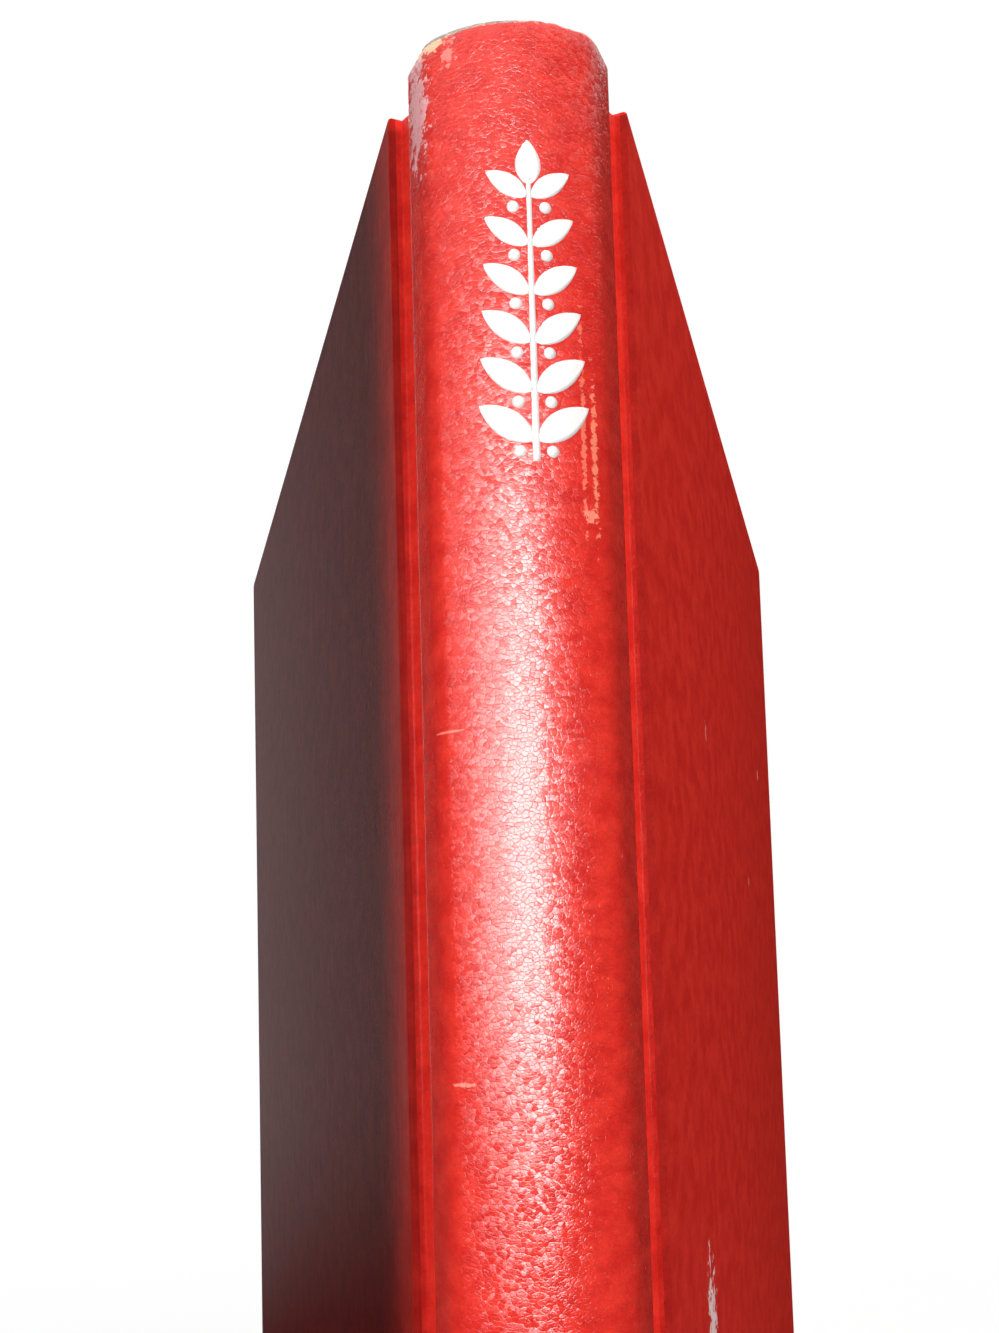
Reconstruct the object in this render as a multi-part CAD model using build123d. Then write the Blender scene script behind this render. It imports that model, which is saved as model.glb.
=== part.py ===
from build123d import *
from math import cos, radians, sin, sqrt
import os

# A hardcover cookbook that stands on its tail with both covers a little open, all sizes in millimetres.
# The leaves are one block, rounded at the back. The block hangs in a case: two stiff boards and a card strip
# under one sheet of leather cloth. The cloth dips into a groove beside each board, and there the cover hinges.
# X runs across the thickness, Y from the spine to the fore-edge, Z up. The front cover is on the +X side.
# Every piece is drawn with the covers closed, and then each cover turns about its hinge to its open angle.

# The leaves
page_height = 279.0
page_width = 213.0
block_thickness = 26.0
shoulder_flare = 0.8
shoulder_length = 2.0
fore_edge_hollow = 5.0

# The sheets that the case is made of
board_thickness = 3.0
cloth = 0.5
spine_card = 0.7
gauze = 0.3
kraft = 0.3
endpaper = 0.25

# The case
back_rise = 3.7
spine_side = 6.1
side_lean = 3.05
square = 3.0
turn_in = 16.0
endpaper_margin = 4.0
cover_edge_round = 0.8
spine_corner_round = 6.0
inlay_setback = 2.2
cap_round = 0.4

# The grooves and hinges
groove_start = 4.2
groove_floor = 1.2
groove_round = 1.6
shoulder_round = 2.2
hinge_outset = 0.2
hinge_depth = 3.0
joint_reach = 6.2
cover_opening = 19.0

# The bands at head and tail
bead_diameter = 2.0
bead_sides = 12
band_tape_height = 12.0
band_setback = 0.5

# Clearances and overlaps
closed_gap = 0.3
hollow_back = 0.4
joint_gap = 0.4
glue_line = 0.02
mull_overhang = 1.0
leaf_gap = 0.2

# The heights at which things stand, and the faces of each layer on the front side
case_height = page_height + 2 * square
block_bottom = square
block_top = square + page_height
block_side = block_thickness / 2
spine_half = block_side + board_thickness
pastedown_face = block_side + endpaper + closed_gap
turn_in_face = pastedown_face + endpaper
board_inner = turn_in_face + cloth
board_outer = board_inner + board_thickness
cover_face = board_outer + cloth

# How deep under the case's skin the card strip, the turned-in cloth and the hollow begin
card_depth = cloth
lap_depth = card_depth + spine_card
hollow_depth = lap_depth + cloth

# The rounded back is a set of arcs about one centre, from the cloth inwards
spine_rise = back_rise + spine_side
back_half = spine_half - side_lean
skin_radius = (back_half**2 + back_rise**2) / (2 * back_rise)
arc_centre = skin_radius - spine_rise
lining_radius = skin_radius - hollow_depth - hollow_back
seat_radius = lining_radius - kraft
back_radius = seat_radius - glue_line - gauze

# The flared edges of the leaves, and how far round the spine the card and the linings reach
flare_half = block_side + shoulder_flare
shoulder_y = arc_centre - sqrt(back_radius**2 - flare_half**2)
card_edge = shoulder_y - gauze - inlay_setback
lining_edge = arc_centre - sqrt(back_radius**2 - block_side**2) - band_setback

# The hinge line, and where the covers and leaves begin and end
hinge_x = spine_half + hinge_outset
hinge_y = hinge_depth
cover_start = hinge_y + joint_reach
cover_end = page_width + square
groove_end = groove_start + groove_floor
mull_end = groove_end + mull_overhang
leaf_start = mull_end + leaf_gap


def slab(x_near, x_far, y_near, y_far, bottom, top):
    """A plain plate between pairs of faces."""
    size = (x_far - x_near, y_far - y_near, top - bottom)
    return Pos((x_near + x_far) / 2, (y_near + y_far) / 2, (bottom + top) / 2) * Box(*size)


def raised(section, bottom, top):
    """A section in the XY plane, carried up from bottom to top."""
    return Pos(0, 0, bottom) * extrude(section, amount=top - bottom)


def before(y):
    """The half of the plane on the spine's side of y."""
    reach = 2 * page_width
    return Pos(0, y - reach / 2) * Rectangle(reach, reach)


def back_ring(outer, inner, y_limit):
    """The stretch of a ring about the back's centre that lies before y_limit."""
    ring = Pos(0, arc_centre) * (Circle(outer) - Circle(inner))
    return ring & before(y_limit)


def opened(closed_piece):
    """A front cover's piece, turned about the hinge from closed to its standing angle."""
    hinge = Pos(hinge_x, hinge_y, 0)
    return hinge * Rot(0, 0, -cover_opening) * hinge.inverse() * closed_piece


def block_section():
    """The leaves seen from above: rounded back, flared shoulders and hollow fore-edge."""
    back = ThreePointArc(
        (-flare_half, shoulder_y), (0, arc_centre - back_radius), (flare_half, shoulder_y)
    )
    neck_y = shoulder_y + shoulder_length
    right = Polyline((flare_half, shoulder_y), (block_side, neck_y), (block_side, page_width))
    left = mirror(right, about=Plane.YZ)
    fore_edge = ThreePointArc(right @ 1, (0, page_width - fore_edge_hollow), left @ 1)
    return make_face(Curve() + [back, right, fore_edge, left])


def text_block():
    """All the leaves as one solid."""
    return raised(block_section(), block_bottom, block_top)


def mull():
    """Gauze over the back, down both shoulders and into the grooves."""
    section = block_section()
    layer = (offset(section, amount=gauze) - section) & before(mull_end)
    return raised(layer, block_bottom, block_top)


def spine_lining():
    """Kraft paper on the mull, between the tapes of the two bands."""
    section = back_ring(lining_radius, seat_radius, lining_edge)
    tape_reach = band_tape_height + leaf_gap
    return raised(section, block_bottom + tape_reach, block_top - tape_reach)


def head_band():
    """A sewn bead on the edge of the leaves, and the tape that holds it to the back."""
    bead_radius = bead_diameter / 2
    bead_height = block_top + bead_radius
    row = Pos(lining_radius - bead_radius, 0, bead_height) * (
        Plane.XZ * RegularPolygon(bead_radius, bead_sides, major_radius=False)
    )
    ring = Pos(0, arc_centre, 0) * revolve(row, axis=Axis.Z)
    reach = 2 * skin_radius
    bead = ring & slab(-reach, reach, -reach, lining_edge, block_top, case_height)
    tape_section = back_ring(lining_radius, seat_radius, lining_edge)
    tape = raised(tape_section, block_top - band_tape_height, bead_height)
    return bead + tape


def turned_over(piece):
    """The same piece at the tail, as the book's two ends match."""
    return Pos(0, 0, case_height) * mirror(piece, about=Plane.XY)


def joint_strip_end():
    """Where the cloth's outer side meets the board's edge, at the covers' standing angle."""
    out = board_inner + 2 * cloth - hinge_x
    along = joint_reach
    turn = radians(cover_opening)
    return (
        hinge_x + out * cos(turn) + along * sin(turn),
        hinge_y - out * sin(turn) + along * cos(turn),
    )


def case_section():
    """All that lies inside the skin of the spine, its two shoulders and its two grooves."""
    floor_x = block_side + gauze + glue_line + cloth
    end_x, end_y = joint_strip_end()
    spare = cover_start - groove_end
    far_x = end_x + spare * (end_x - floor_x) / (end_y - groove_end)
    back = ThreePointArc((-back_half, -spine_side), (0, -spine_rise), (back_half, -spine_side))
    right = Polyline(
        (back_half, -spine_side),
        (spine_half, 0),
        (floor_x, groove_start),
        (floor_x, groove_end),
        (far_x, end_y + spare),
    )
    left = mirror(right, about=Plane.YZ)
    section = make_face(Curve() + [back, right, Line(right @ 1, left @ 1), left])
    corners = section.vertices().filter_by(lambda v: abs(v.Y + spine_side) < glue_line)
    section = fillet(corners, spine_corner_round)
    shoulders = section.vertices().filter_by(lambda v: abs(v.Y) < glue_line)
    section = fillet(shoulders, shoulder_round)
    grooves = section.vertices().filter_by(lambda v: abs(abs(v.X) - floor_x) < glue_line / 2)
    grooves = [v for v in grooves if min(abs(v.Y - groove_start), abs(v.Y - groove_end)) < glue_line]
    return fillet(grooves, groove_round)


def beyond_joint():
    """The ground that a front cover's plate keeps to itself, on the far side of the cloth's end."""
    reach = page_width
    field = Pos(hinge_x, cover_start - joint_gap + reach / 2) * Rectangle(reach / 4, reach)
    hinge = Pos(hinge_x, hinge_y)
    return hinge * Rot(0, 0, -cover_opening) * hinge.inverse() * field


def under_skin(near, far, y_limit):
    """The layer of the case between two depths under its skin, as far as it lies before y_limit."""
    section = case_section()
    outer = offset(section, amount=-near)
    inner = offset(section, amount=-far)
    return (outer - inner) & before(y_limit)


def spine_inlay():
    """The card strip inside the cloth of the spine, bent round its two corners."""
    section = under_skin(card_depth, lap_depth, card_edge)
    return raised(section, cloth, case_height - cloth)


def spine_covering():
    """The cloth of the spine and grooves, folded in over the card at head and tail."""
    section = case_section()
    sheet = section - offset(section, amount=-cloth)
    field = beyond_joint()
    centre_gap = Pos(0, groove_end + page_width / 2) * Rectangle(2 * block_side, page_width)
    sheet = sheet - field - mirror(field, about=Plane.YZ) - centre_gap
    cap = under_skin(cloth / 2, hollow_depth, card_edge)
    lap = under_skin(lap_depth, hollow_depth, card_edge)
    folded = raised(cap, case_height - cloth, case_height)
    folded += raised(lap, case_height - turn_in, case_height)
    skin = raised(sheet, 0, case_height) + folded + turned_over(folded)
    arcs = skin.edges().filter_by(GeomType.CIRCLE)
    rims = [arc for arc in arcs if abs(arc.radius - skin_radius) < glue_line and arc.length > spine_half]
    return fillet(rims, cap_round)


def board_plate():
    """Stiff card, smaller than the cover by the cloth all round."""
    return slab(
        board_inner, board_outer, cover_start + cloth, cover_end - cloth, cloth, case_height - cloth
    )


def front_board():
    """The front cover's board at its standing angle."""
    return opened(board_plate())


def front_covering():
    """Cloth round the board, its edges turned in on the inner side at head, tail and fore-edge."""
    skin = slab(turn_in_face, cover_face, cover_start, cover_end, 0, case_height)
    skin = fillet(skin.edges().group_by(Axis.X)[-1], cover_edge_round)
    window = slab(
        turn_in_face - cloth,
        board_inner,
        cover_start - cloth,
        cover_end - turn_in,
        turn_in,
        case_height - turn_in,
    )
    return opened(skin - board_plate() - window)


def front_pastedown():
    """The glued leaf: flat on the turned-in cloth, and let down onto the board inside it."""
    near = cover_start + cloth
    sheet = slab(
        pastedown_face,
        turn_in_face,
        near,
        cover_end - endpaper_margin,
        endpaper_margin,
        case_height - endpaper_margin,
    )
    inset = turn_in + leaf_gap
    well = slab(
        pastedown_face, board_inner, near, cover_end - inset, inset, case_height - inset
    )
    bend = inset + endpaper
    hollow = slab(
        pastedown_face - endpaper,
        board_inner - endpaper,
        near - cloth,
        cover_end - bend,
        bend,
        case_height - bend,
    )
    return opened(sheet + well - hollow)


def front_flyleaf():
    """The loose half of the endpaper, against the leaves."""
    return slab(block_side, block_side + endpaper, leaf_start, page_width, block_bottom, block_top)


def build_pieces():
    """Every piece by name, with the back cover as the front one's mirror image."""
    pieces = {
        "text_block": text_block(),
        "mull": mull(),
        "spine_lining": spine_lining(),
        "head_band": head_band(),
        "tail_band": turned_over(head_band()),
        "spine_inlay": spine_inlay(),
        "spine_covering": spine_covering(),
    }
    sided = {
        "board": front_board(),
        "covering": front_covering(),
        "pastedown": front_pastedown(),
        "flyleaf": front_flyleaf(),
    }
    for name, piece in sided.items():
        pieces["front_" + name] = piece
        pieces["back_" + name] = mirror(piece, about=Plane.YZ)
    return pieces


pieces = build_pieces()
boxes = [piece.bounding_box() for piece in pieces.values()]
middle = (min(box.min.Y for box in boxes) + max(box.max.Y for box in boxes)) / 2
os.makedirs("parts", exist_ok=True)
for name, piece in pieces.items():
    export_step(Pos(0, -middle, 0) * piece, f"parts/{name}.step")
print("The hinge lines stand at x", hinge_x, "and y", round(hinge_y - middle, 3))
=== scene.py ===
import math

import bmesh
import bpy
from mathutils import Matrix, Vector, noise


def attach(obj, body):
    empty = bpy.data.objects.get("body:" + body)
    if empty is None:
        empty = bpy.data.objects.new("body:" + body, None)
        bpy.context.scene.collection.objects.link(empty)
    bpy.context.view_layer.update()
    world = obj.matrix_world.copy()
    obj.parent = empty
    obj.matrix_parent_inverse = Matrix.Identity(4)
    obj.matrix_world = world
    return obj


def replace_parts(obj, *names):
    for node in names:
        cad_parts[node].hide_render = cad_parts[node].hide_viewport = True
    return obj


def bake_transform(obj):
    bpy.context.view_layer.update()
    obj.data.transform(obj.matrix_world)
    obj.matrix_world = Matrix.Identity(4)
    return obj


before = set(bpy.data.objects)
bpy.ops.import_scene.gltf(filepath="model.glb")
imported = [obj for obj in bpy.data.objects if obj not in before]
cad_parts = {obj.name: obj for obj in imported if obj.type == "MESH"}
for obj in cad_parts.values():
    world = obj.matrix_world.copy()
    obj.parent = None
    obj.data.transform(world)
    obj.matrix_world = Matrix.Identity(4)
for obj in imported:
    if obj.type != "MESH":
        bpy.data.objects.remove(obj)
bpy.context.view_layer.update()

# Camera. It stands close before the spine, at about half the book's height, and looks slightly up.
# The frame is shifted upwards, so that the head of the spine fills its top and the tail is cut off.
MM = 0.001
camera_data = bpy.data.cameras.new("camera")
camera_data.sensor_width = 36
camera_data.lens = 29.4
camera_data.shift_x = -0.0027
camera_data.shift_y = 0.195
camera = bpy.data.objects.new("camera", camera_data)
camera.matrix_world = (
    Matrix.Translation(Vector((-4.44, -262.7, 138.8)) * MM)
    @ Matrix.Rotation(math.radians(94.07), 4, "X")
    @ Matrix.Rotation(math.radians(-1.6), 4, "Z")
)
bpy.context.scene.collection.objects.link(camera)
bpy.context.scene.camera = camera
bpy.context.scene.view_settings.view_transform = "Standard"


# Lamps. One soft key stands before the spine, to the right, so the back cover falls into shade, and a narrow
# one on the left reaches only the spine. Two more light the head and the far side. Three tall panels before
# the spine show in the gloss of the cloth alone.
def lamp(name, azimuth, elevation, distance, size, power, aim=(0, -100, 145), spread=180):
    """A soft panel that faces the book. Azimuth 0 is before the spine, and 90 on the front cover's side."""
    light = bpy.data.lights.new(name, "AREA")
    light.shape = "RECTANGLE"
    light.size, light.size_y = size
    light.energy = power
    light.spread = math.radians(spread)
    holder = bpy.data.objects.new(name, light)
    turn, rise = math.radians(azimuth), math.radians(elevation)
    side = Vector((math.sin(turn) * math.cos(rise), -math.cos(turn) * math.cos(rise), math.sin(rise)))
    holder.location = Vector(aim) * MM + side * distance
    holder.rotation_euler = side.to_track_quat("Z", "Y").to_euler()
    holder.visible_camera = False
    bpy.context.scene.collection.objects.link(holder)
    return holder


for matte_lamp in (
    lamp("key_lamp", 38, 14, 1.0, (0.1, 0.2), 8.8),
    lamp("spine_lamp", -38, 2, 0.4, (0.042, 0.36), 0.062, aim=(0, -103, 145), spread=6),
    lamp("top_lamp", 90, 85, 1.4, (0.5, 0.5), 14),
    lamp("back_lamp", 194, 15, 1.5, (0.6, 0.6), 18),
):
    matte_lamp.visible_glossy = False


def gloss_panel(name, left, right, low, high, radiance, distance=0.9):
    """A panel seen in the gloss alone, between two azimuths and two elevations as the spine sees them."""
    centre, half = (left + right) / 2, (right - left) / 2
    rise, half_rise = (low + high) / 2, (high - low) / 2
    size = [2 * distance * math.tan(math.radians(angle)) for angle in (half, half_rise)]
    panel = lamp(name, centre, rise, distance, size, radiance * math.pi * size[0] * size[1])
    panel.visible_diffuse = False


gloss_panel("sheen_wide", -60, 34, -32, 42, 1.2)
gloss_panel("sheen_bright", -36, 15, -32, 30, 5)
gloss_panel("sheen_core", -14, 13, -4, 26, 8)


# Studio. The backdrop is white, and the floor is pale paper that keeps the book's soft shadow.
def node(tree, kind, inputs=None, **settings):
    """Adds a shader node. An input is a value, or the socket that feeds it."""
    made = tree.nodes.new(kind)
    for label, value in settings.items():
        setattr(made, label, value)
    for label, value in (inputs or {}).items():
        if isinstance(value, bpy.types.NodeSocket):
            tree.links.new(value, made.inputs[label])
        else:
            made.inputs[label].default_value = value
    return made


def seen_directly(tree):
    """1 for rays that come straight from the camera, or by a gloss or through something clear."""
    path = node(tree, "ShaderNodeLightPath")
    gloss = node(
        tree, "ShaderNodeMath",
        {0: path.outputs["Is Camera Ray"], 1: path.outputs["Is Glossy Ray"]}, operation="MAXIMUM",
    )
    clear = node(
        tree, "ShaderNodeMath",
        {0: gloss.outputs[0], 1: path.outputs["Is Transmission Ray"]}, operation="MAXIMUM",
    )
    return clear.outputs[0]


world = bpy.data.worlds.new("studio")
bpy.context.scene.world = world
world.use_nodes = True
tree = world.node_tree
tree.nodes.clear()
fill = node(tree, "ShaderNodeBackground", {"Color": (1, 1, 1, 1), "Strength": 0.045})
white = node(tree, "ShaderNodeBackground", {"Color": (1, 1, 1, 1), "Strength": 1.0})
choice = node(
    tree, "ShaderNodeMixShader", {0: seen_directly(tree), 1: fill.outputs[0], 2: white.outputs[0]}
)
node(tree, "ShaderNodeOutputWorld", {"Surface": choice.outputs[0]})

bm = bmesh.new()
bmesh.ops.create_grid(bm, x_segments=1, y_segments=1, size=3)
floor_mesh = bpy.data.meshes.new("floor")
bm.to_mesh(floor_mesh)
bm.free()
floor = bpy.data.objects.new("floor", floor_mesh)
bpy.context.scene.collection.objects.link(floor)
floor_paper = bpy.data.materials.new("floor_paper")
floor_paper.use_nodes = True
tree = floor_paper.node_tree
tree.nodes.clear()
lit = node(tree, "ShaderNodeBsdfDiffuse", {"Color": (0.85, 0.85, 0.85, 1)})
glow = node(tree, "ShaderNodeEmission", {"Color": (1, 1, 1, 1), "Strength": 1.0})
place = node(tree, "ShaderNodeTexCoord")
away = node(tree, "ShaderNodeVectorMath", {0: place.outputs["Object"]}, operation="LENGTH")
fade = node(
    tree, "ShaderNodeMapRange",
    {"Value": away.outputs["Value"], "From Min": 0.1, "From Max": 0.5, "To Min": 0.7, "To Max": 1.0},
    interpolation_type="SMOOTHSTEP",
)
shown = node(tree, "ShaderNodeMixShader", {0: fade.outputs[0], 1: lit.outputs[0], 2: glow.outputs[0]})
dim = node(tree, "ShaderNodeBsdfDiffuse", {"Color": (0.07, 0.07, 0.07, 1)})
choice = node(
    tree, "ShaderNodeMixShader", {0: seen_directly(tree), 1: dim.outputs[0], 2: shown.outputs[0]}
)
node(tree, "ShaderNodeOutputMaterial", {"Surface": choice.outputs[0]})
floor_mesh.materials.append(floor_paper)

# A round dark card stands about the book, where only gloss sees it, so the red cloth keeps its depth.
# At the back on the left it has one grey stretch, which shows as the dull sheen of the shaded cover.
CARD_HOLE, CARD_RADIUS, CARD_BASE, CARD_TOP = 0.14, 1.3, 0.001, 1.6
bm = bmesh.new()
bm.verts.new((CARD_HOLE, 0, CARD_BASE))
for corner in ((CARD_RADIUS, 0, CARD_BASE), (CARD_RADIUS, 0, CARD_TOP)):
    bm.verts.ensure_lookup_table()
    bmesh.ops.extrude_vert_indiv(bm, verts=[bm.verts[-1]])
    bm.verts.ensure_lookup_table()
    bm.verts[-1].co = corner
bmesh.ops.spin(
    bm, geom=bm.verts[:] + bm.edges[:], cent=(0, 0, 0), axis=(0, 0, 1), angle=2 * math.pi, steps=48,
    use_merge=True,
)
card_mesh = bpy.data.meshes.new("reflection_card")
bm.to_mesh(card_mesh)
bm.free()
card = bpy.data.objects.new("reflection_card", card_mesh)
bpy.context.scene.collection.objects.link(card)
card_paint = bpy.data.materials.new("reflection_card")
card_paint.use_nodes = True
tree = card_paint.node_tree
tree.nodes.clear()
place = node(tree, "ShaderNodeTexCoord")
from_cover = node(
    tree, "ShaderNodeVectorMath", {0: place.outputs["Object"], 1: (0.07, -0.1, 0)}, operation="ADD"
)
side = node(tree, "ShaderNodeSeparateXYZ", {0: from_cover.outputs[0]})
turned = node(
    tree, "ShaderNodeMath", {0: side.outputs["X"], 1: side.outputs["Y"]}, operation="ARCTAN2"
)
grey_start = node(
    tree, "ShaderNodeMapRange",
    {"Value": turned.outputs[0], "From Min": -0.31, "From Max": -0.08, "To Min": 4.0, "To Max": 0.0},
)
grey_end = node(
    tree, "ShaderNodeMapRange",
    {"Value": turned.outputs[0], "From Min": -0.57, "From Max": -0.36, "To Min": 0.0, "To Max": 1.0},
)
behind = node(
    tree, "ShaderNodeMapRange",
    {"Value": side.outputs["Y"], "From Min": 0.0, "From Max": 0.1, "To Min": 0.0, "To Max": 1.0},
)
level = node(
    tree, "ShaderNodeMath", {0: grey_start.outputs[0], 1: grey_end.outputs[0]}, operation="MULTIPLY"
)
level = node(tree, "ShaderNodeMath", {0: level.outputs[0], 1: behind.outputs[0]}, operation="MULTIPLY")
level = node(tree, "ShaderNodeMath", {0: level.outputs[0], 1: 0.02}, operation="ADD")
paint = node(tree, "ShaderNodeEmission", {"Color": (1, 0.97, 0.98, 1), "Strength": level.outputs[0]})
node(tree, "ShaderNodeOutputMaterial", {"Surface": paint.outputs[0]})
card_mesh.materials.append(card_paint)
for ray in ("camera", "diffuse", "transmission", "volume_scatter", "shadow"):
    setattr(card, "visible_" + ray, False)


# Leaves. The folded sections of the book, each a few sheets of pale paper sewn through the fold.
# They are rounded and flared at the back and hollow at the fore-edge.
CENTRE_Y = -101.6
BLOCK_BOTTOM, BLOCK_TOP = 3, 282
BLOCK_LEFT, BACK_CENTRE = -13, 14.71


def in_frame(x, y, z):
    """A point in metres, from millimetres across the book, back from the spine's hinge line, and up."""
    return Vector((x, y + CENTRE_Y, z)) * MM


def piece(bm, name, material, body=None, smooth_angle=35):
    """Makes an object of the mesh, gives it its finish, and hangs it on a body."""
    mesh = bpy.data.meshes.new(name)
    for face in bm.faces:
        face.smooth = True
    bm.to_mesh(mesh)
    bm.free()
    mesh.set_sharp_from_angle(angle=math.radians(smooth_angle))
    mesh.materials.append(material)
    made = bpy.data.objects.new(name, mesh)
    bpy.context.scene.collection.objects.link(made)
    if body:
        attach(made, body)
    return made


def finish(name, roughness, specular=0.5):
    """A new material, its tree and its Principled shader."""
    material = bpy.data.materials.new(name)
    material.use_nodes = True
    shader = material.node_tree.nodes["Principled BSDF"]
    shader.inputs["Roughness"].default_value = roughness
    shader.inputs["Specular IOR Level"].default_value = specular
    return material, material.node_tree, shader


def object_point(tree, scale=(1, 1, 1)):
    """Object coordinates, stretched."""
    where = node(tree, "ShaderNodeTexCoord")
    mapped = node(tree, "ShaderNodeMapping", {"Vector": where.outputs["Object"], "Scale": Vector(scale)})
    return mapped.outputs[0]


def ramp(tree, factor, *stops):
    """A colour ramp from pairs of place and colour."""
    made = node(tree, "ShaderNodeValToRGB", {"Fac": factor})
    bands = made.color_ramp.elements
    while len(bands) < len(stops):
        bands.new(0.5)
    for band, (place, colour) in zip(bands, stops):
        band.position = place
        band.color = (*colour, 1)
    return made.outputs["Color"]


def times(tree, colour, factor, share=1.0):
    """A colour darkened by another colour or a mask."""
    made = node(
        tree, "ShaderNodeMix", {0: share, 6: colour, 7: factor}, data_type="RGBA", blend_type="MULTIPLY"
    )
    return made.outputs[2]


def dye(tree, shader, colour, height, depth, strength):
    """Gives a material its colour, and a relief of a depth in metres."""
    relief = node(tree, "ShaderNodeBump", {"Height": height, "Distance": depth, "Strength": strength})
    tree.links.new(colour, shader.inputs["Base Color"])
    tree.links.new(relief.outputs[0], shader.inputs["Normal"])


def section_block():
    """All the sections side by side, each a thin slab with soft edges."""
    sections, thickness, gap, edge_round = 26, 1.0, 0.03, 0.14
    back_radius = 21.79
    fore_radius, fore_centre = 19.4, 227.4
    neck_y, neck_step, flare = -1.15, 1, 1.06
    whole = bmesh.new()
    for i in range(sections):
        left = BLOCK_LEFT + i * thickness
        bm = bmesh.new()
        bmesh.ops.create_cube(bm, size=1)
        edges = [e for e in bm.edges if abs(e.verts[0].co.y - e.verts[1].co.y) > 0.5]
        bmesh.ops.subdivide_edges(bm, edges=edges, cuts=1)
        for vert in bm.verts:
            x = left + (gap if vert.co.x < 0 else thickness - gap)
            back = BACK_CENTRE - math.sqrt(back_radius**2 - x**2)
            fore = fore_centre - math.sqrt(fore_radius**2 - x**2)
            y = back if vert.co.y < -0.1 else fore if vert.co.y > 0.1 else max(neck_y, back + neck_step)
            x = x * flare if vert.co.y < -0.1 else x
            vert.co = in_frame(x, y, BLOCK_BOTTOM if vert.co.z < 0 else BLOCK_TOP)
        bmesh.ops.bevel(
            bm, geom=[e for e in bm.edges if e.calc_face_angle(0) > 1], offset=edge_round * MM,
            affect="EDGES", segments=2, profile=0.5, material=-1,
        )
        part = bpy.data.meshes.new("section")
        bm.to_mesh(part)
        bm.free()
        whole.from_mesh(part)
        bpy.data.meshes.remove(part)
    return whole


leaf_paper, tree, shader = finish("leaf_paper", 0.85, 0.2)
streaks = node(
    tree, "ShaderNodeTexNoise",
    {"Vector": object_point(tree, (9000, 60, 25)), "Scale": 1, "Detail": 3, "Roughness": 0.7},
)
stain = node(
    tree, "ShaderNodeTexNoise", {"Vector": object_point(tree), "Scale": 45, "Detail": 4}
)
edges = ramp(tree, streaks.outputs["Fac"], (0.25, (0.42, 0.35, 0.25)), (0.75, (0.78, 0.71, 0.58)))
aged = ramp(tree, stain.outputs["Fac"], (0.35, (1, 0.93, 0.8)), (0.65, (1, 1, 1)))
dye(tree, shader, times(tree, edges, aged, 0.8), streaks.outputs["Fac"], 0.00006, 0.6)
leaves = piece(section_block(), "leaves", leaf_paper, "book_block")
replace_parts(leaves, "text_block")


# Mull and lining. Open gauze is glued over the back of the leaves and down both shoulders.
# A strip of brown kraft paper is glued on it, between the two bands.
def dress(material, *names):
    """Gives CAD nodes their material."""
    for name in names:
        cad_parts[name].material_slots[0].material = material


gauze_cloth, tree, shader = finish("gauze_cloth", 0.9, 0.1)
threads = [
    node(
        tree, "ShaderNodeTexWave", {"Vector": object_point(tree), "Scale": 330, "Distortion": 0.6},
        bands_direction=way,
    ).outputs["Fac"]
    for way in ("X", "Z")
]
weave = node(tree, "ShaderNodeMath", {0: threads[0], 1: threads[1]}, operation="MAXIMUM")
tone = ramp(tree, weave.outputs[0], (0.3, (0.3, 0.24, 0.15)), (0.8, (0.74, 0.69, 0.57)))
dye(tree, shader, tone, weave.outputs[0], 0.0001, 0.8)
dress(gauze_cloth, "mull")

kraft_sheet, tree, shader = finish("kraft_sheet", 0.75, 0.2)
fibres = node(
    tree, "ShaderNodeTexNoise",
    {"Vector": object_point(tree, (1500, 1500, 260)), "Scale": 1, "Detail": 5, "Roughness": 0.65},
)
tone = ramp(tree, fibres.outputs["Fac"], (0.3, (0.3, 0.17, 0.08)), (0.7, (0.47, 0.29, 0.15)))
dye(tree, shader, tone, fibres.outputs["Fac"], 0.00005, 0.5)
dress(kraft_sheet, "spine_lining")


# Bands at head and tail. A cord lies on the back edge of the leaves, wrapped in natural cotton thread.
# Its tape is glued to the mull below. The wraps are modelled round the cord that the frame holds.
CORD_RISE = 1.05


def wrapped_cord(z):
    """The thread's turns along the cord, as one swept tube that swells at each turn."""
    cord_radius, thread, turns, reach, waist = 21.41, 1.1, 50, 32.9, 0.88
    bm = bmesh.new()
    ring = bmesh.ops.create_circle(bm, segments=12, radius=thread * MM)["verts"]
    stand = Matrix.Rotation(math.radians(90), 4, "X")
    bmesh.ops.transform(bm, matrix=Matrix.Translation((cord_radius * MM, 0, 0)) @ stand, verts=ring)
    bmesh.ops.rotate(bm, matrix=Matrix.Rotation(math.radians(-90 - reach), 3, "Z"), verts=ring)
    bmesh.ops.spin(
        bm, geom=bm.edges[:] + bm.verts[:], cent=(0, 0, 0), axis=(0, 0, 1),
        angle=math.radians(2 * reach), steps=2 * turns, use_merge=False,
    )
    step = math.radians(reach) / turns
    for vert in bm.verts:
        angle = math.atan2(vert.co.y, vert.co.x)
        spoke = Vector((math.cos(angle), math.sin(angle), 0)) * cord_radius * MM
        turn = round((angle + math.radians(90 + reach)) / step)
        if turn % 2:
            vert.co = spoke + (vert.co - spoke) * waist
    bmesh.ops.holes_fill(bm, edges=[e for e in bm.edges if e.is_boundary], sides=0)
    bmesh.ops.recalc_face_normals(bm, faces=bm.faces)
    bmesh.ops.translate(bm, vec=in_frame(0, BACK_CENTRE, z), verts=bm.verts)
    return bm


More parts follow.
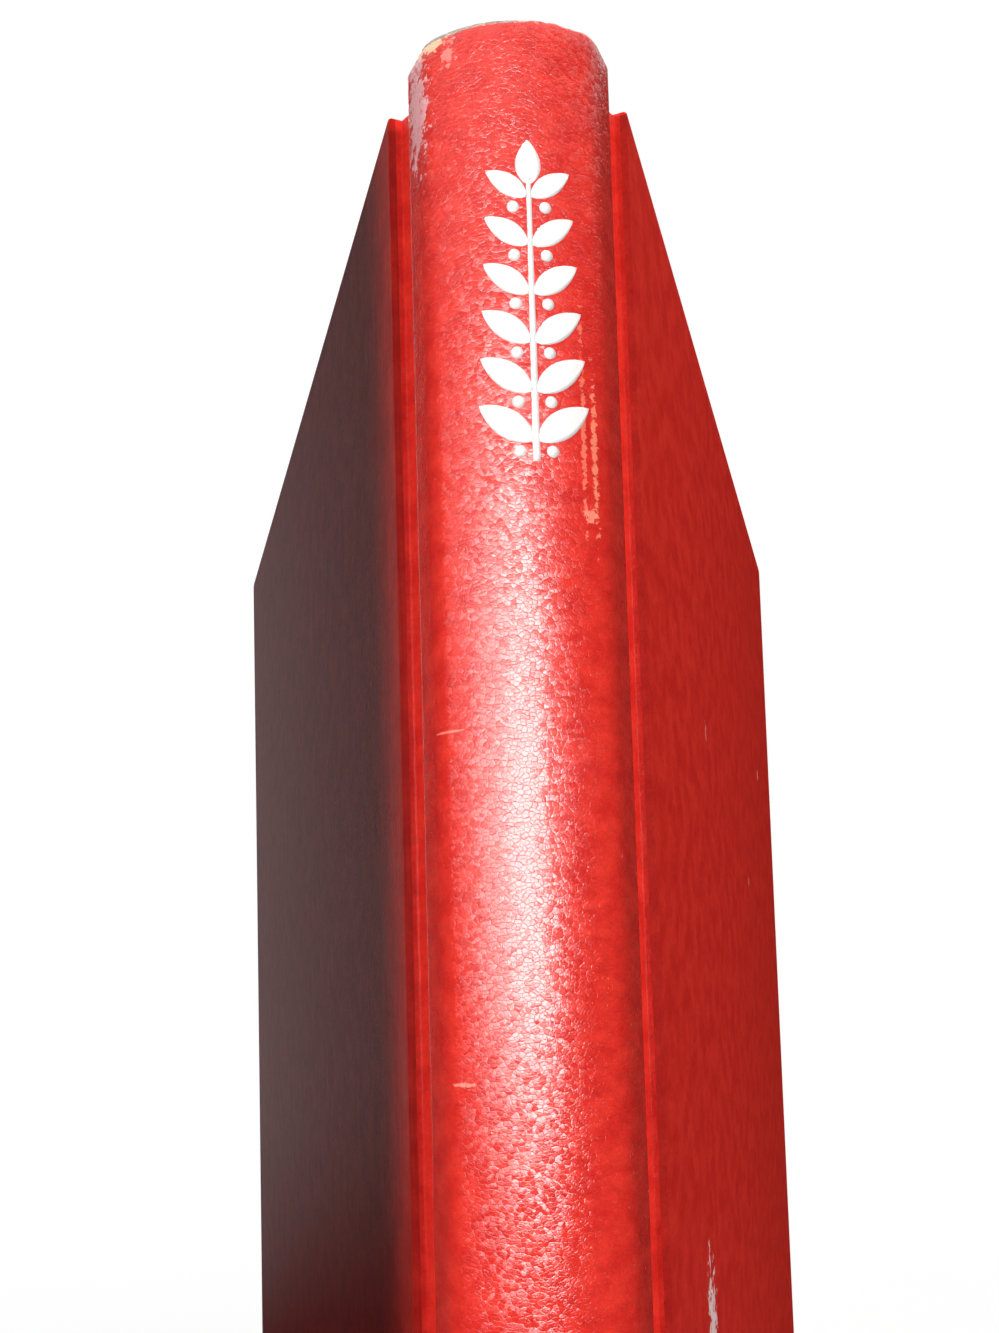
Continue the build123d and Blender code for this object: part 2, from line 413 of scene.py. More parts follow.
band_cotton, tree, shader = finish("band_cotton", 0.7, 0.2)
nap = node(
    tree, "ShaderNodeTexNoise", {"Vector": object_point(tree), "Scale": 2600, "Detail": 3}
)
tone = ramp(tree, nap.outputs["Fac"], (0.3, (0.5, 0.42, 0.3)), (0.7, (0.76, 0.7, 0.58)))
dye(tree, shader, tone, nap.outputs["Fac"], 0.00005, 0.6)
dress(band_cotton, "head_band", "tail_band")
for name, end, outwards in (("head_band_thread", BLOCK_TOP, 1), ("tail_band_thread", BLOCK_BOTTOM, -1)):
    piece(wrapped_cord(end + outwards * CORD_RISE), name, band_cotton, "book_block")


# Boards and spine card. Grey pulp board stiffens both covers, and a thin strip of card keeps the spine's
# form. They are hidden in the cloth, apart from a hair's breadth beside the endpapers.
pulp_board, tree, shader = finish("pulp_board", 0.9, 0.15)
flecks = node(
    tree, "ShaderNodeTexNoise", {"Vector": object_point(tree, (1, 1, 0.6)), "Scale": 900, "Detail": 5}
)
tone = ramp(tree, flecks.outputs["Fac"], (0.3, (0.2, 0.18, 0.15)), (0.7, (0.4, 0.37, 0.31)))
dye(tree, shader, tone, flecks.outputs["Fac"], 0.00005, 0.5)
dress(pulp_board, "front_board", "back_board", "spine_inlay")


# Spine cloth. One sheet of red grained leather cloth runs round the spine, over its two shoulders and down
# into the grooves. At head and tail it is folded over the card and pasted down inside.
CASE_HEIGHT = 285
CLOTH = 0.5
SKIN_RADIUS = 24.51
CORNER_X, CORNER_Y, CORNER_RADIUS, LEAN = 8.4, -1.785, 6.0, 26.57
SHOULDER_X, SHOULDER_ROUND = 16, 1.12
GROOVE_X, GROOVE_START, GROOVE_ROUND, GROOVE_END, SEAM_Y = 13.82, 4.2, 0.5, 5.4, 4.8
CAP_START = 278


def effect(name, inputs, outputs):
    """A shader node group, with its input and output nodes."""
    group = bpy.data.node_groups.new(name, "ShaderNodeTree")
    for label, kind, value in inputs:
        socket = group.interface.new_socket(label, in_out="INPUT", socket_type=kind)
        socket.default_value = value
    for label, kind in outputs:
        group.interface.new_socket(label, in_out="OUTPUT", socket_type=kind)
    return group, node(group, "NodeGroupInput"), node(group, "NodeGroupOutput")


def math_node(tree, operation, *values):
    """The result of one sum."""
    return node(tree, "ShaderNodeMath", dict(enumerate(values)), operation=operation).outputs[0]


def pebble_grain():
    """Small flat pebbles, each tilted its own way, between fine creases. Size is a pebble's width."""
    group, given, result = effect(
        "pebble_grain",
        [("Vector", "NodeSocketVector", (0, 0, 0)), ("Size", "NodeSocketFloat", 0.0008)],
        [("Height", "NodeSocketFloat"), ("Creases", "NodeSocketFloat"), ("Mottle", "NodeSocketFloat")],
    )
    count = math_node(group, "DIVIDE", 1.0, given.outputs["Size"])
    place = node(
        group, "ShaderNodeVectorMath", {0: given.outputs["Vector"], "Scale": count}, operation="SCALE"
    )
    drift = node(group, "ShaderNodeTexNoise", {"Vector": place.outputs[0], "Scale": 0.55, "Detail": 2})
    moved = node(
        group, "ShaderNodeVectorMath", {0: drift.outputs["Color"], 1: (0.9, 0.9, 0), 2: place.outputs[0]},
        operation="MULTIPLY_ADD",
    )
    cells = node(
        group, "ShaderNodeTexVoronoi", {"Vector": moved.outputs[0], "Scale": 1},
        voronoi_dimensions="2D", feature="DISTANCE_TO_EDGE",
    )
    crease = node(
        group, "ShaderNodeMapRange",
        {"Value": cells.outputs["Distance"], "From Min": 0.0, "From Max": 0.16, "To Min": 0, "To Max": 1},
        interpolation_type="SMOOTHSTEP",
    )
    pebbles = node(
        group, "ShaderNodeTexVoronoi", {"Vector": moved.outputs[0], "Scale": 1}, voronoi_dimensions="2D"
    )
    within = node(
        group, "ShaderNodeVectorMath", {0: moved.outputs[0], 1: pebbles.outputs["Position"]},
        operation="SUBTRACT",
    )
    lean = node(
        group, "ShaderNodeVectorMath", {0: pebbles.outputs["Color"], 1: (0.5, 0.5, 0.5)}, operation="SUBTRACT"
    )
    tilt = node(
        group, "ShaderNodeVectorMath", {0: within.outputs[0], 1: lean.outputs[0]}, operation="DOT_PRODUCT"
    )
    fine = node(group, "ShaderNodeTexNoise", {"Vector": place.outputs[0], "Scale": 2.2, "Detail": 2})
    broad = node(group, "ShaderNodeTexNoise", {"Vector": place.outputs[0], "Scale": 0.16, "Detail": 3})
    height = math_node(group, "MULTIPLY_ADD", crease.outputs[0], 0.12, tilt.outputs["Value"])
    height = math_node(group, "MULTIPLY_ADD", fine.outputs["Fac"], 0.3, height)
    group.links.new(height, result.inputs["Height"])
    group.links.new(crease.outputs[0], result.inputs["Creases"])
    group.links.new(broad.outputs["Fac"], result.inputs["Mottle"])
    return group


def rub_and_sheen_mark():
    """A paler spot on the flat cloth, mostly wear, and on the cap's rim partly a painted highlight: an oval
    about a centre, with a ragged, broken edge.
    """
    group, given, result = effect(
        "rub_and_sheen_mark",
        [
            ("Vector", "NodeSocketVector", (0, 0, 0)),
            ("Centre", "NodeSocketVector", (0, 0, 0)),
            ("Reach", "NodeSocketVector", (1, 1, 1)),
            ("Ragged", "NodeSocketFloat", 0.6),
            ("Grit", "NodeSocketFloat", 900),
        ],
        [("Mask", "NodeSocketFloat")],
    )
    offset = node(
        group, "ShaderNodeVectorMath", {0: given.outputs["Vector"], 1: given.outputs["Centre"]},
        operation="SUBTRACT",
    )
    oval = node(
        group, "ShaderNodeVectorMath", {0: offset.outputs[0], 1: given.outputs["Reach"]}, operation="DIVIDE"
    )
    far = node(group, "ShaderNodeVectorMath", {0: oval.outputs[0]}, operation="LENGTH")
    grit = node(
        group, "ShaderNodeTexNoise",
        {"Vector": given.outputs["Vector"], "Scale": given.outputs["Grit"], "Detail": 4, "Roughness": 0.7},
    )
    worn = math_node(group, "SUBTRACT", grit.outputs["Fac"], 0.5)
    worn = math_node(group, "MULTIPLY", worn, given.outputs["Ragged"])
    worn = math_node(group, "MULTIPLY_ADD", worn, 6.0, far.outputs["Value"])
    mask = node(
        group, "ShaderNodeMapRange",
        {"Value": worn, "From Min": 0.75, "From Max": 1.05, "To Min": 1, "To Max": 0},
        interpolation_type="SMOOTHSTEP",
    )
    group.links.new(mask.outputs[0], result.inputs["Mask"])
    return group


PEBBLES = pebble_grain()
RUBS_AND_SHEEN = rub_and_sheen_mark()
DARK_RED, LIGHT_RED = Vector((0.5, 0.016, 0.011)), Vector((0.59, 0.026, 0.016))


def leather_cloth(
    name, grain, depth, roughness, specular, stretch=(1, 1, 1), marks=(), streaks=0.0, tone=1.0
):
    """Red leather cloth, its grain in metres. Its creases are painted a little darker as painted shade, and a
    tone above 1 paints it lighter as painted light.

    Each mark is a centre and a reach on the flat cloth, a raggedness, a colour and a weight.
    """
    material, tree, shader = finish(name, roughness, specular)
    flat = node(tree, "ShaderNodeUVMap", uv_map="cut").outputs[0]
    laid = node(tree, "ShaderNodeMapping", {"Vector": flat, "Scale": Vector(stretch)}).outputs[0]
    grained = node(tree, "ShaderNodeGroup", node_tree=PEBBLES)
    tree.links.new(laid, grained.inputs["Vector"])
    grained.inputs["Size"].default_value = grain
    # tone scales the cloth's red. Above 1 it is painted light, for a piece that should stand lit.
    colour = ramp(tree, grained.outputs["Mottle"], (0.38, DARK_RED * tone), (0.62, LIGHT_RED * tone))
    # The creases between the pebbles are painted a little darker: painted shade in the grain.
    painted_crease_shade = math_node(tree, "MULTIPLY_ADD", grained.outputs["Creases"], 0.08, 0.92)
    specks = node(
        tree, "ShaderNodeTexNoise", {"Vector": flat, "Scale": 750, "Detail": 3, "Roughness": 0.65}
    )
    specked = math_node(tree, "MULTIPLY_ADD", specks.outputs["Fac"], 0.5, 0.75)
    colour = times(tree, colour, math_node(tree, "MULTIPLY", painted_crease_shade, specked))
    if streaks:
        drawn = node(tree, "ShaderNodeMapping", {"Vector": flat, "Scale": Vector((1600, 45, 1))})
        lines = node(tree, "ShaderNodeTexNoise", {"Vector": drawn.outputs[0], "Scale": 1, "Detail": 3})
        level = ramp(tree, lines.outputs["Fac"], (0.3, (1 - streaks,) * 3), (0.7, (1, 1, 1)))
        colour = times(tree, colour, level)
    for centre, reach, ragged, tint, weight in marks:
        paler_spot = node(tree, "ShaderNodeGroup", node_tree=RUBS_AND_SHEEN)
        tree.links.new(flat, paler_spot.inputs["Vector"])
        paler_spot.inputs["Centre"].default_value = Vector((*centre, 0)) * MM
        paler_spot.inputs["Reach"].default_value = Vector((*reach, 1000)) * MM
        paler_spot.inputs["Ragged"].default_value = ragged
        paler_spot.inputs["Grit"].default_value = min(900, 1600 / min(reach))
        strength = math_node(tree, "MULTIPLY", paler_spot.outputs["Mask"], weight)
        colour = node(
            tree, "ShaderNodeMix", {0: strength, 6: colour, 7: (*tint, 1)}, data_type="RGBA"
        ).outputs[2]
    dye(tree, shader, colour, grained.outputs["Height"], depth, 1.0)
    return material


def wire(bm, *points):
    """Goes on from the last vertex of a wire by straight runs."""
    bm.verts.ensure_lookup_table()
    for x, y in points:
        bmesh.ops.extrude_vert_indiv(bm, verts=[bm.verts[-1]])
        bm.verts.ensure_lookup_table()
        bm.verts[-1].co = Vector((x, y, 0))


def rounded(bm, x, y, radius, segments=5):
    """Rounds the wire's corner at a point."""
    corner = min(bm.verts, key=lambda v: (v.co - Vector((x, y, 0))).length)
    bmesh.ops.bevel(
        bm, geom=[corner], offset=radius, offset_type="OFFSET", affect="VERTICES", segments=segments,
        profile=0.5, material=-1,
    )


def in_order(bm):
    """The wire's vertices from the end with the lowest x onwards."""
    vert = min((v for v in bm.verts if len(v.link_edges) == 1), key=lambda v: v.co.x)
    row, edge = [vert], None
    while True:
        onward = [e for e in row[-1].link_edges if e is not edge]
        if not onward:
            return row
        edge = onward[0]
        row.append(edge.other_vert(row[-1]))


def wrapped_sheet(bm, fold_of, depth_of, rows, wave=None, start=None):
    """Raises a wire, given in millimetres, into a closed sheet of cloth that is folded over at head and tail.

    fold_of and depth_of give the fold's thickness and the turn-in's depth at a point of the wire. The wire's
    inner side is on its left hand. start is where the sheet's flat width begins in its UV map, and without
    it the wire's middle is zero.
    """
    across_layer = bm.verts.layers.float.new("across")
    up_layer = bm.verts.layers.float.new("up")
    wire_row = in_order(bm)
    points = [v.co.copy() for v in wire_row]
    inward = []
    for i, point in enumerate(points):
        run = points[min(i + 1, len(points) - 1)] - points[max(i - 1, 0)]
        inward.append(Vector((-run.y, run.x, 0)).normalized())
    lengths = [(b - a).length for a, b in zip(points, points[1:])]
    total = -sum(lengths) / 2 if start is None else start
    across = [total]
    for length in lengths:
        total += length
        across.append(total)
    levels = []
    for i in range(rows + 1):
        levels.append(("out", i / rows))
    for i in range(1, 7):
        levels.append(("head", i / 6))
    levels += [("hem", 1), ("step", 1), ("step", 0), ("hem", 0), ("tail", 1)]
    for i in range(5, 0, -1):
        levels.append(("tail", i / 6))

    def place(k, level):
        kind, t = level
        fold, depth = fold_of(points[k]), depth_of(points[k])
        half = fold / 2
        if kind == "out":
            return 0, half + (CASE_HEIGHT - fold) * t
        if kind in ("head", "tail"):
            turn = math.pi * t
            rise = half * math.sin(turn)
            level_z = CASE_HEIGHT - half + rise if kind == "head" else half - rise
            return half * (1 - math.cos(turn)), level_z
        inset = depth + (0.1 if kind == "step" else 0)
        return (CLOTH if kind == "step" else fold), (CASE_HEIGHT - inset if t else inset)

    def put(row, level):
        for k, vert in enumerate(row):
            offset, z = place(k, level)
            spot = points[k] + inward[k] * offset
            if wave:
                spot = spot + inward[k] * wave(across[k], z)
                z = z + rim_wear(across[k], z)
            vert.co = in_frame(spot.x, spot.y, z)
            vert[across_layer] = across[k]
            kind, t = level
            vert[up_layer] = z + (offset if kind == "head" else -offset if kind == "tail" else 0)

    row = wire_row
    put(row, levels[0])
    for level in levels[1:]:
        edges = [bm.edges.get((a, b)) for a, b in zip(row, row[1:])]
        made = bmesh.ops.extrude_edge_only(bm, edges=edges)["geom"]
        fresh = {v for v in made if isinstance(v, bmesh.types.BMVert)}
        row = [next(e.other_vert(v) for e in v.link_edges if e.other_vert(v) in fresh) for v in row]
        put(row, level)
    for (a, b), (c, d) in zip(zip(row, row[1:]), zip(wire_row, wire_row[1:])):
        bm.faces.new((a, b, d, c))
    bmesh.ops.holes_fill(bm, edges=[e for e in bm.edges if e.is_boundary], sides=0)
    bmesh.ops.recalc_face_normals(bm, faces=bm.faces)
    cut = bm.loops.layers.uv.new("cut")
    for face in bm.faces:
        for loop in face.loops:
            loop[cut].uv = (loop.vert[across_layer] * MM, loop.vert[up_layer] * MM)
    return bm, total


def cloth_wave(across, z):
    """The slight unevenness of the cloth over the card, in millimetres."""
    return 0.05 * noise.noise(Vector((across / 9, z / 22, 3.1)))


def rim_wear(across, z):
    """How far the worn cap at the head has sunk, most of all at its left corner."""
    if z < CAP_START:
        return 0
    share = (z - CAP_START) / (CASE_HEIGHT - CAP_START)
    long_dents = 0.55 * noise.noise(Vector((across / 4.5, 7.7, 1.3)))
    short_dents = 0.3 * noise.noise(Vector((across / 1.6, 2, 5)))
    slope = 0.05 * max(0, 9 - across)
    return share * (min(0, long_dents + short_dents) - 0.12 - min(slope, 0.9))


def spine_wire():
    """The cloth's outer line: the flat round of the back, two corners, two leaning sides and both grooves."""
    bm = bmesh.new()
    lean = math.radians(LEAN)
    crown = math.asin(CORNER_X / (SKIN_RADIUS - CORNER_RADIUS))
    corner = math.pi / 2 - crown - lean
    side_x = CORNER_X + CORNER_RADIUS * math.cos(lean)
    bm.verts.new((-side_x, CORNER_Y - CORNER_RADIUS * math.sin(lean), 0))
    for x, y, sweep, steps in (
        (-CORNER_X, CORNER_Y, corner, 10), (0, BACK_CENTRE, 2 * crown, 32), (CORNER_X, CORNER_Y, corner, 10),
    ):
        bm.verts.ensure_lookup_table()
        bmesh.ops.spin(
            bm, geom=[bm.verts[-1]], cent=(x, y, 0), axis=(0, 0, 1), angle=sweep, steps=steps, use_merge=False
        )
    wire(bm, (SHOULDER_X, 0), (GROOVE_X, GROOVE_START), (GROOVE_X, SEAM_Y))
    bm.verts.ensure_lookup_table()
    near = bm.verts[0]
    for x, y in ((-SHOULDER_X, 0), (-GROOVE_X, GROOVE_START), (-GROOVE_X, SEAM_Y)):
        near = bmesh.ops.extrude_vert_indiv(bm, verts=[near])["verts"][0]
        near.co = Vector((x, y, 0))
    for side in (-1, 1):
        rounded(bm, side * SHOULDER_X, 0, SHOULDER_ROUND, 6)
        rounded(bm, side * GROOVE_X, GROOVE_START, GROOVE_ROUND, 3)
    return bm


def spine_fold(point):
    """The folded edge holds the card in the round of the spine, and thins out towards the grooves."""
    share = min(max((point.y + 5.2) / 2.3, 0), 1)
    return 1.7 - 1.15 * share * share * (3 - 2 * share)


def spine_hem(point):
    """The turn-in is deep in the round of the spine and shallow beside the leaves."""
    share = min(max((point.y + 4.6) / 1.2, 0), 1)
    return 16 - 13.4 * share


SPINE_MARKS = [
    ((-16.2, 276), (2.9, 9), 0.8, (0.72, 0.4, 0.42), 0.7),
    ((-12.6, 284.4), (3.4, 2.4), 0.45, (0.86, 0.46, 0.26), 0.85),
    ((-9.4, 280.6), (1.1, 1.9), 0.9, (0.84, 0.3, 0.24), 0.5),
    # The two long bands along the cap's top are rubbed wear, and partly a painted highlight along its rim.
    ((-3, 285.2), (13, 1.3), 0.5, (0.85, 0.33, 0.24), 0.7),
    ((11, 285.2), (9, 1.0), 0.5, (0.82, 0.22, 0.15), 0.6),
    ((9.5, 222), (0.4, 13), 0.9, (0.84, 0.24, 0.15), 0.5),
    ((11.3, 219), (0.45, 10), 0.9, (0.84, 0.28, 0.17), 0.6),
    ((10.4, 209), (1.1, 0.9), 0.7, (0.84, 0.3, 0.2), 0.6),
    ((-11.7, 178), (2.4, 0.22), 0.3, (0.84, 0.26, 0.2), 0.6),
    ((-10.9, 127.6), (2.0, 0.35), 0.4, (0.86, 0.3, 0.22), 0.6),
]
spine_leather = leather_cloth(
    "spine_leather", 0.00065, 0.0001, 0.19, 0.9, stretch=(0.9, 1.1, 1), marks=SPINE_MARKS
)
sheet, spine_reach = wrapped_sheet(spine_wire(), spine_fold, spine_hem, 110, wave=cloth_wave)
spine_cloth = piece(sheet, "spine_cloth", spine_leather, "book_block", 50)
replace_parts(spine_cloth, "spine_covering")


# Cover cloth. The same cloth is drawn tight over each board and turned in on its inner side.
# The boards' corners are a little rounded by use. Both covers stand ajar.
HINGE = Vector((16.2, 3.0, 0))
AJAR = math.radians(19)
TURN_IN_FACE, COVER_FACE = 13.8, 17.8
COVER_START, COVER_END, TURN_IN = 9.2, 216.0, 16.0
JOINT_WIDTH = 4
CORNER_WEAR, FACE_ROUND, NEAR_ROUND, HEM_ROUND = 2.0, 0.8, 1.0, 0.35


def opened():
    """Turns a front cover's piece, drawn closed and in millimetres, to its standing angle in the frame."""
    return (
        Matrix.Scale(MM, 4)
        @ Matrix.Translation((0, CENTRE_Y, 0))
        @ Matrix.Translation(HINGE)
        @ Matrix.Rotation(-AJAR, 4, "Z")
        @ Matrix.Translation(-HINGE)
    )


def to_back(bm):
    """Makes a front piece into the back one, which is its mirror image."""
    bmesh.ops.scale(bm, vec=(-1, 1, 1), verts=bm.verts)
    bmesh.ops.reverse_faces(bm, faces=bm.faces)
    cut = bm.loops.layers.uv.get("cut")
    for face in bm.faces if cut else []:
        for loop in face.loops:
            loop[cut].uv.x *= -1
    return bm


def edges_where(bm, test):
    """The edges whose two ends both pass a test."""
    return [e for e in bm.edges if all(test(v.co) for v in e.verts)]


def soften(bm, edges, radius, segments):
    """Rounds some edges."""
    bmesh.ops.bevel(
        bm, geom=edges, offset=radius, offset_type="OFFSET", affect="EDGES", segments=segments, profile=0.5,
        material=-1,
    )


def cover_sheet():
    """The cloth round one board, as a shell that is open over the middle of the board's inner side."""
    bm = bmesh.new()
    bmesh.ops.create_cube(bm, size=1)
    for vert in bm.verts:
        vert.co = (
            COVER_FACE if vert.co.x > 0 else TURN_IN_FACE,
            COVER_END if vert.co.y > 0 else COVER_START,
            CASE_HEIGHT if vert.co.z > 0 else 0,
        )
    ends = [e for e in bm.edges if all(v.co.y > COVER_END - 1 for v in e.verts)]
    soften(bm, [e for e in ends if abs(e.verts[0].co.x - e.verts[1].co.x) > 1], CORNER_WEAR, 6)
    outer = edges_where(bm, lambda c: c.x > COVER_FACE - 0.01)
    near = [e for e in outer if all(v.co.y < COVER_START + 0.01 for v in e.verts)]
    soften(bm, [e for e in outer if e not in near], FACE_ROUND, 5)
    near = edges_where(bm, lambda c: c.x > COVER_FACE - FACE_ROUND - 0.1 and c.y < COVER_START + 0.01)
    near = [e for e in near if abs(e.verts[0].co.z - e.verts[1].co.z) > 100]
    soften(bm, near, NEAR_ROUND, 5)
    inner = edges_where(bm, lambda c: c.x < TURN_IN_FACE + 0.01)
    soften(bm, [e for e in inner if not all(v.co.y < COVER_START + 0.01 for v in e.verts)], HEM_ROUND, 3)
    for centre, normal in (
        ((0, 0, TURN_IN), (0, 0, 1)),
        ((0, 0, CASE_HEIGHT - TURN_IN), (0, 0, 1)),
        ((0, COVER_END - TURN_IN, 0), (0, 1, 0)),
    ):
        side = [f for f in bm.faces if f.normal.x < -0.99]
        geom = side + [e for f in side for e in f.edges] + [v for f in side for v in f.verts]
        bmesh.ops.bisect_plane(bm, geom=list(set(geom)), plane_co=centre, plane_no=normal)
    window = [
        f for f in bm.faces
        if f.normal.x < -0.99
        and TURN_IN < f.calc_center_median().z < CASE_HEIGHT - TURN_IN
        and f.calc_center_median().y < COVER_END - TURN_IN
    ]
    bmesh.ops.delete(bm, geom=window, context="FACES")
    cut = bm.loops.layers.uv.new("cut")
    for face in bm.faces:
        ahead, upward = round(face.normal.y), round(face.normal.z)
        for loop in face.loops:
            x, y, z = loop.vert.co
            down = COVER_FACE - x
            across = spine_reach + JOINT_WIDTH + y - COVER_START
            loop[cut].uv = ((across + ahead * down) * MM, (z + upward * down) * MM)
    bmesh.ops.transform(bm, matrix=opened(), verts=bm.verts)
    return bm


def tight(made):
    """Gives the cloth its thickness on the inner side, and keeps its wide flats flat in shading."""
    wall = made.modifiers.new("thickness", "SOLIDIFY")
    wall.thickness = CLOTH * MM
    wall.offset = -1
    wall.use_even_offset = True
    flats = made.modifiers.new("flats", "WEIGHTED_NORMAL")
    flats.keep_sharp = True
    return made


COVER_MARKS = [
    ((68.5, 76), (4.2, 12), 0.8, (0.8, 0.7, 0.68), 0.8),
    ((90.5, 195), (0.9, 2.0), 0.7, (0.72, 0.22, 0.2), 0.6),
    ((197.5, 206), (1.4, 1.6), 0.7, (0.75, 0.3, 0.27), 0.7),
    ((160.5, 170), (1.2, 1.3), 0.7, (0.72, 0.25, 0.22), 0.55),
]
front_leather = leather_cloth("front_leather", 0.0009, 0.00004, 0.6, 0.06, marks=COVER_MARKS)
back_leather = leather_cloth("back_leather", 0.0009, 0.00004, 0.48, 0.06, streaks=0.3)
front_cloth = piece(cover_sheet(), "front_cover_cloth", front_leather, "front_cover", 40)
back_cloth = piece(
    to_back(cover_sheet()), "back_cover_cloth", back_leather, "back_cover", 40
)
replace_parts(tight(front_cloth), "front_covering")
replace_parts(tight(back_cloth), "back_covering")


# Joint cloth. In each groove the same sheet runs bare from the leaves to the board, across the joint where
# the cover opens.
# It comes up out of the groove and lies against the board's near edge.
JOINT_TURN, JOINT_REST = (17.53, 9.05), (18.5, 8.72)


def joint_wire():
    """The cloth's outer line from the seam in the groove to the middle of the board's near edge."""
    bm = bmesh.new()
    bm.verts.new((GROOVE_X, SEAM_Y, 0))
    wire(bm, (GROOVE_X, GROOVE_END), JOINT_TURN, JOINT_REST)
    long_run = max(bm.edges, key=lambda e: e.calc_length())
    bmesh.ops.subdivide_edges(bm, edges=[long_run], cuts=9)
    rounded(bm, GROOVE_X, GROOVE_END, 0.25, 3)
    rounded(bm, *JOINT_TURN, 0.35, 4)
    return bm


def bend(made):
    """Bakes a piece's placement into its mesh."""
    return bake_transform(made)


# The joint cloth is the same cloth painted lighter (tone 1.3): painted light on the strips beside the
# grooves.
joint_leather = leather_cloth("joint_leather", 0.0008, 0.00008, 0.3, 0.06, tone=1.3)
for side, cover, name in (
    (1, "front_cover", "front_joint_cloth"),
    (-1, "back_cover", "back_joint_cloth"),
):
    sheet, _ = wrapped_sheet(joint_wire(), lambda p: 0.55, lambda p: 2.6, 40, start=spine_reach)
    if side < 0:
        to_back(sheet)
    bend(piece(sheet, name, joint_leather, smooth_angle=50))


# Endpapers. A folded sheet of strong cream paper joins the leaves to each cover: one half is pasted on the
# board over the turned-in cloth, the other is the first loose leaf, and its fold lies in the groove.
PASTED_END, BOARD_EDGE, GROOVE_WALL = (16.09, 10.44), (15.75, 9.47), (14.72, 7.28)
FOLD, LOOSE_END, PAPER = (13.5, 6.12), (13.13, 7.0), 0.24


def endpaper_wire():
    """The fold's middle line, from the pasted half round the board's edge and down to the loose leaf."""
    bm = bmesh.new()
    bm.verts.new((*PASTED_END, 0))
    wire(bm, BOARD_EDGE, GROOVE_WALL, FOLD, LOOSE_END)
    runs = [e for e in bm.edges if e.calc_length() > 1.4]
    bmesh.ops.subdivide_edges(bm, edges=runs, cuts=4)
    for corner, radius in ((BOARD_EDGE, 0.3), (GROOVE_WALL, 0.3), (FOLD, 0.16)):
        rounded(bm, *corner, radius, 3)
    return bm


def endpaper_fold():
    """The fold raised to its full height, with the paper's thickness."""
    bm = endpaper_wire()
    made = bmesh.ops.extrude_edge_only(bm, edges=bm.edges[:])["geom"]
    top = {v for v in made if isinstance(v, bmesh.types.BMVert)}
    for vert in bm.verts:
        share = min(max((vert.co.x - LOOSE_END[0]) / 2.6, 0), 1)
        height = BLOCK_TOP - share if vert in top else BLOCK_BOTTOM + share
        vert.co = in_frame(vert.co.x, vert.co.y, height)
    bmesh.ops.recalc_face_normals(bm, faces=bm.faces)
    bmesh.ops.solidify(bm, geom=bm.faces[:], thickness=PAPER * MM)
    return bm


endpaper_sheet, tree, shader = finish("endpaper_sheet", 0.8, 0.25)
fibres = node(
    tree, "ShaderNodeTexNoise",
    {"Vector": object_point(tree, (900, 900, 240)), "Scale": 1, "Detail": 5, "Roughness": 0.6},
)
clouds = node(tree, "ShaderNodeTexNoise", {"Vector": object_point(tree), "Scale": 22, "Detail": 4})
paper = ramp(tree, fibres.outputs["Fac"], (0.3, (0.68, 0.62, 0.5)), (0.7, (0.8, 0.75, 0.64)))
foxed = ramp(tree, clouds.outputs["Fac"], (0.3, (0.95, 0.88, 0.76)), (0.65, (1, 1, 1)))
dye(tree, shader, times(tree, paper, foxed), fibres.outputs["Fac"], 0.00003, 0.4)
dress(endpaper_sheet, "front_pastedown", "back_pastedown", "front_flyleaf", "back_flyleaf")
for side, cover, name in (
    (1, "front_cover", "front_endpaper_fold"),
    (-1, "back_cover", "back_endpaper_fold"),
):
    sheet = endpaper_fold()
    if side < 0:
        to_back(sheet)
    bend(piece(sheet, name, endpaper_sheet, smooth_angle=50))


# Spine ornament. A plain sprig of leaves and berries, stamped in white foil down the upper part of the spine.
# The foil lies on the cloth and follows its round.
def on_spine(across, up, lift):
    """A point on the spine's skin, in metres, from its place on the flat cloth."""
    radius = SKIN_RADIUS + lift - cloth_wave(across, up)
    angle = across / SKIN_RADIUS
    return in_frame(radius * math.sin(angle), BACK_CENTRE - radius * math.cos(angle), up)


def leaf_shape(bm, length, width, place, turn_degrees):
    """A pointed leaf that grows from a point of the flat cloth at an angle to the upright."""
    verts = bmesh.ops.create_grid(bm, x_segments=14, y_segments=6, size=1)["verts"]
    turn = math.radians(turn_degrees)
    for vert in verts:
        share = (vert.co.x + 1) / 2
        half = width / 2 * math.sin(math.pi * share**0.85) ** 0.8 if 0 < share < 1 else 0
        along, aside = share * length, vert.co.y * half
        vert.co = (
            place[0] + math.sin(turn) * along + math.cos(turn) * aside,
            place[1] + math.cos(turn) * along - math.sin(turn) * aside,
            0,
        )
    return verts


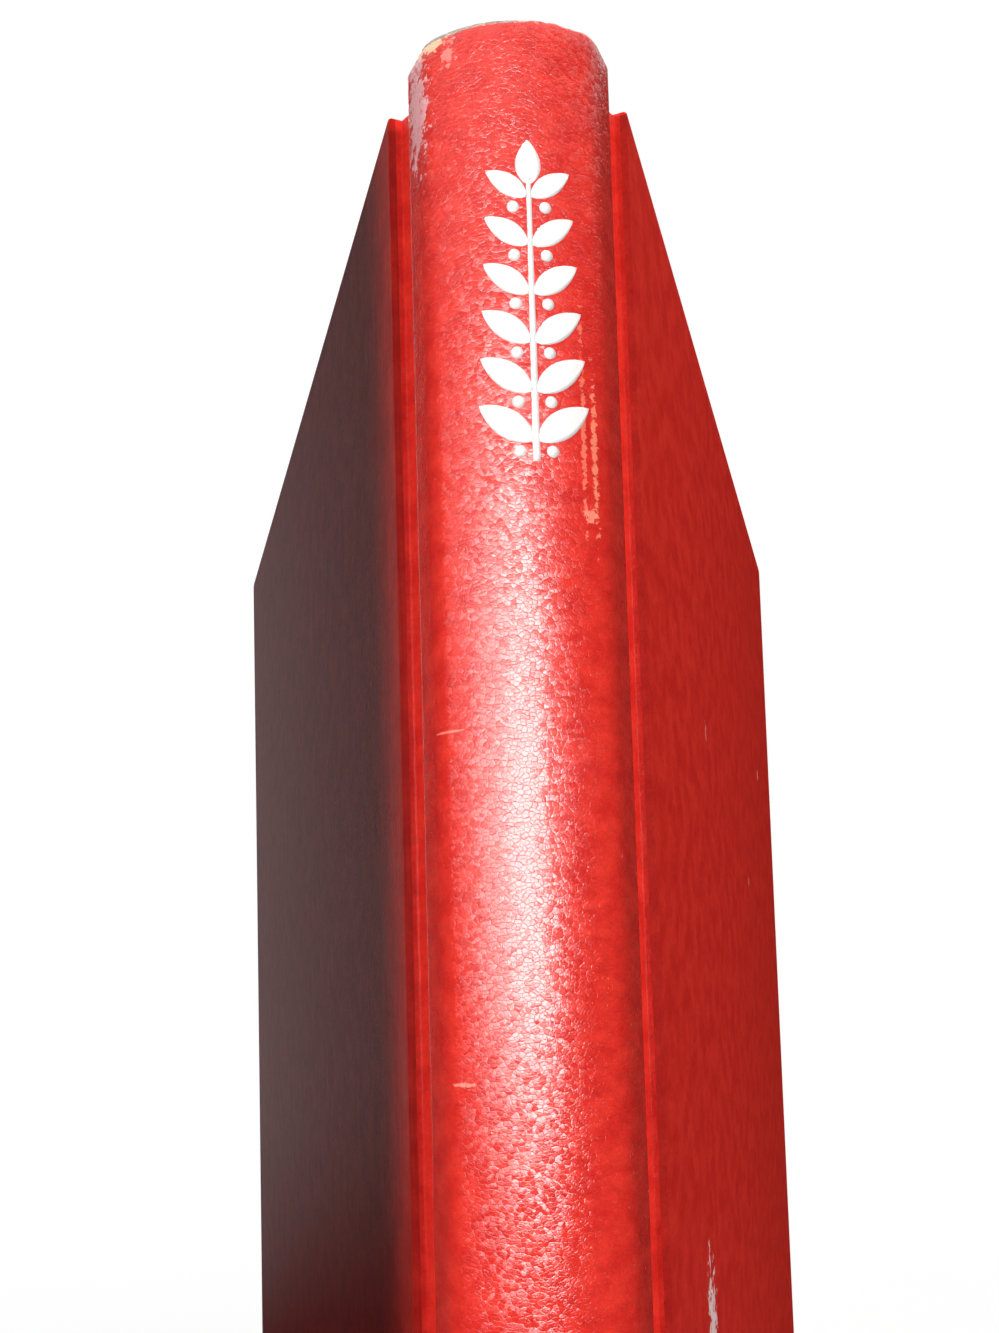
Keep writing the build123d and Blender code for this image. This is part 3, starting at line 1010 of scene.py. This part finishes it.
def sprig():
    """The whole ornament: stem, leaves in pairs, berries and a leaf at the tip."""
    middle, foot, tip, pairs = 2.3, 216.5, 259.5, 6
    leaf_length, leaf_width, leaf_angle, berry_radius = 9.8, 4.2, 54, 0.9
    bm = bmesh.new()
    stem = bmesh.ops.create_grid(bm, x_segments=60, y_segments=2, size=1)["verts"]
    for vert in stem:
        share = (vert.co.x + 1) / 2
        vert.co = (middle + vert.co.y * (0.55 - 0.2 * share), foot + share * (tip - foot), 0)
    leaf_shape(bm, 7.0, 3.8, (middle, tip - 1.2), 0)
    for i in range(pairs):
        height = foot + 3 + i * (tip - foot - 6) / (pairs - 1)
        size = 1 - 0.05 * i
        for side in (-1, 1):
            root = (middle + side * 0.3, height)
            leaf_shape(bm, leaf_length * size, leaf_width * size, root, side * leaf_angle)
            berry = bmesh.ops.create_circle(
                bm, cap_ends=True, cap_tris=True, segments=16, radius=berry_radius
            )["verts"]
            bmesh.ops.translate(bm, vec=(middle + side * 2.4, height - 1.5, 0), verts=berry)
    bmesh.ops.remove_doubles(bm, verts=bm.verts, dist=0.001)
    cut = bm.loops.layers.uv.new("cut")
    for face in bm.faces:
        for loop in face.loops:
            loop[cut].uv = loop.vert.co.xy * MM
    for vert in bm.verts:
        vert.co = on_spine(vert.co.x, vert.co.y, 0.03)
    bm.normal_update()
    for face in bm.faces:
        if face.normal.y > 0:
            face.normal_flip()
    return bm


white_foil, tree, shader = finish("white_foil", 0.45, 0.5)
flat = node(tree, "ShaderNodeUVMap", uv_map="cut").outputs[0]
grained = node(tree, "ShaderNodeGroup", node_tree=PEBBLES)
tree.links.new(flat, grained.inputs["Vector"])
grained.inputs["Size"].default_value = 0.0009
worn = node(tree, "ShaderNodeTexNoise", {"Vector": flat, "Scale": 1100, "Detail": 4, "Roughness": 0.7})
tone = ramp(tree, worn.outputs["Fac"], (0.27, (0.6, 0.34, 0.31)), (0.36, (0.64, 0.61, 0.6)))
dye(tree, shader, tone, grained.outputs["Height"], 0.00004, 1.0)
ornament = piece(sprig(), "spine_ornament", white_foil, "book_block")
film = ornament.modifiers.new("film", "SOLIDIFY")
film.thickness = 0.08 * MM
film.offset = -1
